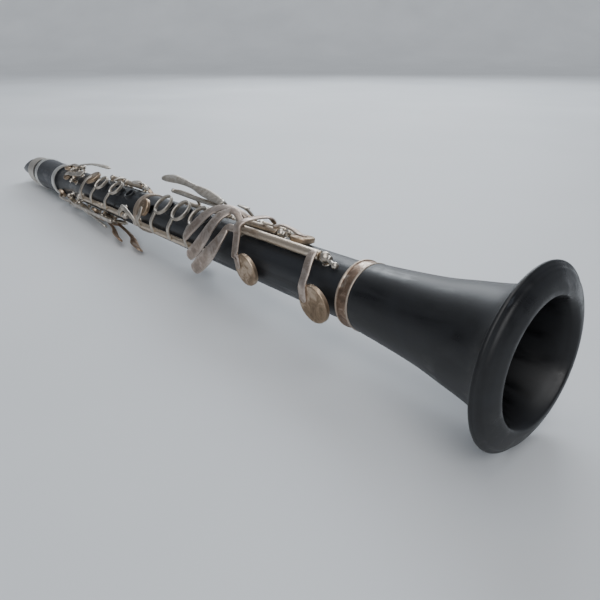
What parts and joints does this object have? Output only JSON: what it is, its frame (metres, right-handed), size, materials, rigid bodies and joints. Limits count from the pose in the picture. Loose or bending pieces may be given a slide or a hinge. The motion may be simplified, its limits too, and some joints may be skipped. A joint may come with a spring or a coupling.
{
  "type": "clarinet",
  "caption": "Black wooden clarinet with a flared bell, barrel, mouthpiece with reed, and tarnished nickel-silver keys, finger rings and side levers on rods and posts.",
  "frame": {"origin": "halfway along the instrument's length, on the bore's axis", "axes": "+X along the bore towards the bell's mouth, mouthpiece at -X; -Y towards the player's right hand; the front line with the finger holes is rolled 28 degrees from +Z towards -Y, as the instrument lies on a table"},
  "size_m": [0.664, 0.0788, 0.0788],
  "materials": {
    "black_rubber": "polished black hard rubber",
    "black_wood": "satin black grenadilla with a blue-grey sheen",
    "cane": "dry cane",
    "cork": "greased cork",
    "key_metal": "tarnished nickel silver, warm grey with brown stains",
    "pad_skin": "yellowed skin over felt",
    "ring_metal": "tarnished nickel silver, brownish grey",
    "screw_steel": "dull steel"
  },
  "bodies": {
    "clarinet_body": {"a_flat_hinge": "key_metal", "a_hinge": "key_metal", "barrel": "black_wood", "barrel_lower_ring": "ring_metal", "barrel_tenon_cork": "cork", "barrel_upper_ring": "ring_metal", "bell": "black_wood", "bell_ring": "ring_metal", "bell_tenon_cork": "cork", "f_sharp_hinge": "key_metal", "g_sharp_hinge": "key_metal", "lever_hinge": "key_metal", "ligature": "key_metal", "ligature_screw_1": "screw_steel", "ligature_screw_2": "screw_steel", "low_e_hinge": "key_metal", "low_f_hinge": "key_metal", "lower_joint": "black_wood", "lower_ring_hinge": "key_metal", "middle_ring": "ring_metal", "middle_tenon_cork": "cork", "mouthpiece": "black_rubber", "mouthpiece_cork": "cork", "reed": "cane", "register_hinge": "key_metal", "side_1_hinge": "key_metal", "side_2_hinge": "key_metal", "side_3_hinge": "key_metal", "side_4_hinge": "key_metal", "thumb_hinge": "key_metal", "thumb_rest": "key_metal", "upper_joint": "black_wood", "upper_left_hinge": "key_metal", "upper_ring_hinge": "key_metal"},
    "a_flat_key": {"a_flat_key": "key_metal", "a_flat_pad": "pad_skin"},
    "a_key": {"a_key": "key_metal", "a_pad": "pad_skin"},
    "bridge_key": {"bridge_key": "key_metal"},
    "c_sharp_key": {"c_sharp_key": "key_metal"},
    "e_flat_key": {"e_flat_key": "key_metal"},
    "f_sharp_key": {"f_sharp_key": "key_metal", "f_sharp_pad": "pad_skin"},
    "g_sharp_key": {"g_sharp_key": "key_metal"},
    "index_ring_key": {"index_ring_key": "key_metal", "index_ring_pad": "pad_skin"},
    "left_e_lever": {"left_e_lever": "key_metal"},
    "left_f_sharp_lever": {"left_f_sharp_lever": "key_metal"},
    "low_e_key": {"low_e_key": "key_metal", "low_e_pad": "pad_skin"},
    "low_f_key": {"low_f_key": "key_metal", "low_f_pad": "pad_skin"},
    "lower_ring_key": {"lower_ring_key": "key_metal", "lower_ring_pad": "pad_skin"},
    "register_key": {"register_key": "key_metal"},
    "side_1_key": {"side_1_key": "key_metal"},
    "side_2_key": {"side_2_key": "key_metal"},
    "side_3_key": {"side_3_key": "key_metal"},
    "side_4_key": {"side_4_key": "key_metal"},
    "thumb_ring_key": {"thumb_ring_key": "key_metal"}
  },
  "joints": [
    {"name": "low_e_pivot", "type": "hinge", "parent": "clarinet_body", "child": "low_e_key", "pos_m": [0.18025, -0.00833, 0.01708], "axis": [1, 0, 0], "range_deg": [0, 8], "stiffness_Nm_per_rad": 0.05, "springref_deg": -14.32},
    {"name": "low_f_pivot", "type": "hinge", "parent": "clarinet_body", "child": "low_f_key", "pos_m": [0.153, 0.0097, 0.01552], "axis": [1, 0, 0], "range_deg": [0, 5], "stiffness_Nm_per_rad": 0.05, "springref_deg": -14.32},
    {"name": "a_flat_pivot", "type": "hinge", "parent": "clarinet_body", "child": "a_flat_key", "pos_m": [0.151, 0, 0.0183], "axis": [1, 0, 0], "range_deg": [0, 6], "stiffness_Nm_per_rad": 0.05, "springref_deg": -14.32},
    {"name": "f_sharp_pivot", "type": "hinge", "parent": "clarinet_body", "child": "f_sharp_key", "pos_m": [0.1225, 0.0179, 0.0038], "axis": [1, 0, 0], "range_deg": [0, 5], "stiffness_Nm_per_rad": 0.05, "springref_deg": -14.32},
    {"name": "left_e_lever_pivot", "type": "hinge", "parent": "clarinet_body", "child": "left_e_lever", "pos_m": [0.082, 0.01517, 0.01023], "axis": [1, 0, 0], "range_deg": [0, 8], "stiffness_Nm_per_rad": 0.05, "springref_deg": -14.32},
    {"name": "left_f_sharp_lever_pivot", "type": "hinge", "parent": "clarinet_body", "child": "left_f_sharp_lever", "pos_m": [0.082, 0.01517, 0.01023], "axis": [1, 0, 0], "range_deg": [0, 5], "stiffness_Nm_per_rad": 0.05, "springref_deg": -14.32},
    {"name": "lower_ring_pivot", "type": "hinge", "parent": "clarinet_body", "child": "lower_ring_key", "pos_m": [0.061, -0.01783, -0.0025], "axis": [-1, 0, 0], "range_deg": [0, 12], "stiffness_Nm_per_rad": 0.05, "springref_deg": -14.32},
    {"name": "bridge_pivot", "type": "hinge", "parent": "clarinet_body", "child": "bridge_key", "pos_m": [-0.0355, -0.01736, -0.00121], "axis": [-1, 0, 0], "range_deg": [0, 7], "stiffness_Nm_per_rad": 0.05, "springref_deg": -14.32},
    {"name": "index_ring_pivot", "type": "hinge", "parent": "clarinet_body", "child": "index_ring_key", "pos_m": [-0.0355, -0.01736, -0.00121], "axis": [-1, 0, 0], "range_deg": [0, 7], "stiffness_Nm_per_rad": 0.05, "springref_deg": -14.32},
    {"name": "c_sharp_pivot", "type": "hinge", "parent": "clarinet_body", "child": "c_sharp_key", "pos_m": [-0.0355, 0.00538, 0.01655], "axis": [1, 0, 0], "range_deg": [0, 9], "stiffness_Nm_per_rad": 0.05, "springref_deg": -14.32},
    {"name": "e_flat_pivot", "type": "hinge", "parent": "clarinet_body", "child": "e_flat_key", "pos_m": [-0.0355, 0.00538, 0.01655], "axis": [1, 0, 0], "range_deg": [0, 9], "stiffness_Nm_per_rad": 0.05, "springref_deg": -14.32},
    {"name": "thumb_ring_pivot", "type": "hinge", "parent": "clarinet_body", "child": "thumb_ring_key", "pos_m": [-0.117, 0.01635, -0.00595], "axis": [-1, 0, 0], "range_deg": [0, 7], "stiffness_Nm_per_rad": 0.05, "springref_deg": -14.32},
    {"name": "a_pivot", "type": "hinge", "parent": "clarinet_body", "child": "a_key", "pos_m": [-0.152, -0.00127, 0.01816], "axis": [0, 0.9976, 0.0698], "range_deg": [0, 4], "stiffness_Nm_per_rad": 0.05, "springref_deg": -14.32},
    {"name": "g_sharp_pivot", "type": "hinge", "parent": "clarinet_body", "child": "g_sharp_key", "pos_m": [-0.134, -0.0112, 0.01434], "axis": [0, 0.788, 0.6157], "range_deg": [0, 6], "stiffness_Nm_per_rad": 0.05, "springref_deg": -14.32},
    {"name": "register_pivot", "type": "hinge", "parent": "clarinet_body", "child": "register_key", "pos_m": [-0.155, 0.00854, -0.01607], "axis": [0, -0.8829, -0.4695], "range_deg": [0, 6], "stiffness_Nm_per_rad": 0.05, "springref_deg": -14.32},
    {"name": "side_1_pivot", "type": "hinge", "parent": "clarinet_body", "child": "side_1_key", "pos_m": [-0.056, -0.00622, -0.0171], "axis": [0, -0.9397, 0.342], "range_deg": [0, 4], "stiffness_Nm_per_rad": 0.05, "springref_deg": -14.32},
    {"name": "side_2_pivot", "type": "hinge", "parent": "clarinet_body", "child": "side_2_key", "pos_m": [-0.072, -0.01044, -0.01491], "axis": [0, -0.8192, 0.5736], "range_deg": [0, 4], "stiffness_Nm_per_rad": 0.05, "springref_deg": -14.32},
    {"name": "side_3_pivot", "type": "hinge", "parent": "clarinet_body", "child": "side_3_key", "pos_m": [-0.12, -0.01374, -0.01194], "axis": [0, -0.6561, 0.7547], "range_deg": [0, 3], "stiffness_Nm_per_rad": 0.05, "springref_deg": -14.32},
    {"name": "side_4_pivot", "type": "hinge", "parent": "clarinet_body", "child": "side_4_key", "pos_m": [-0.142, -0.01607, -0.00854], "axis": [0, -0.4695, 0.8829], "range_deg": [0, 3], "stiffness_Nm_per_rad": 0.05, "springref_deg": -14.32}
  ],
  "couplings": [
    {"joint": "left_e_lever_pivot", "follows": "low_e_pivot", "ratio": 1},
    {"joint": "left_f_sharp_lever_pivot", "follows": "f_sharp_pivot", "ratio": 1},
    {"joint": "bridge_pivot", "follows": "lower_ring_pivot", "ratio": 0.58333}
  ]
}
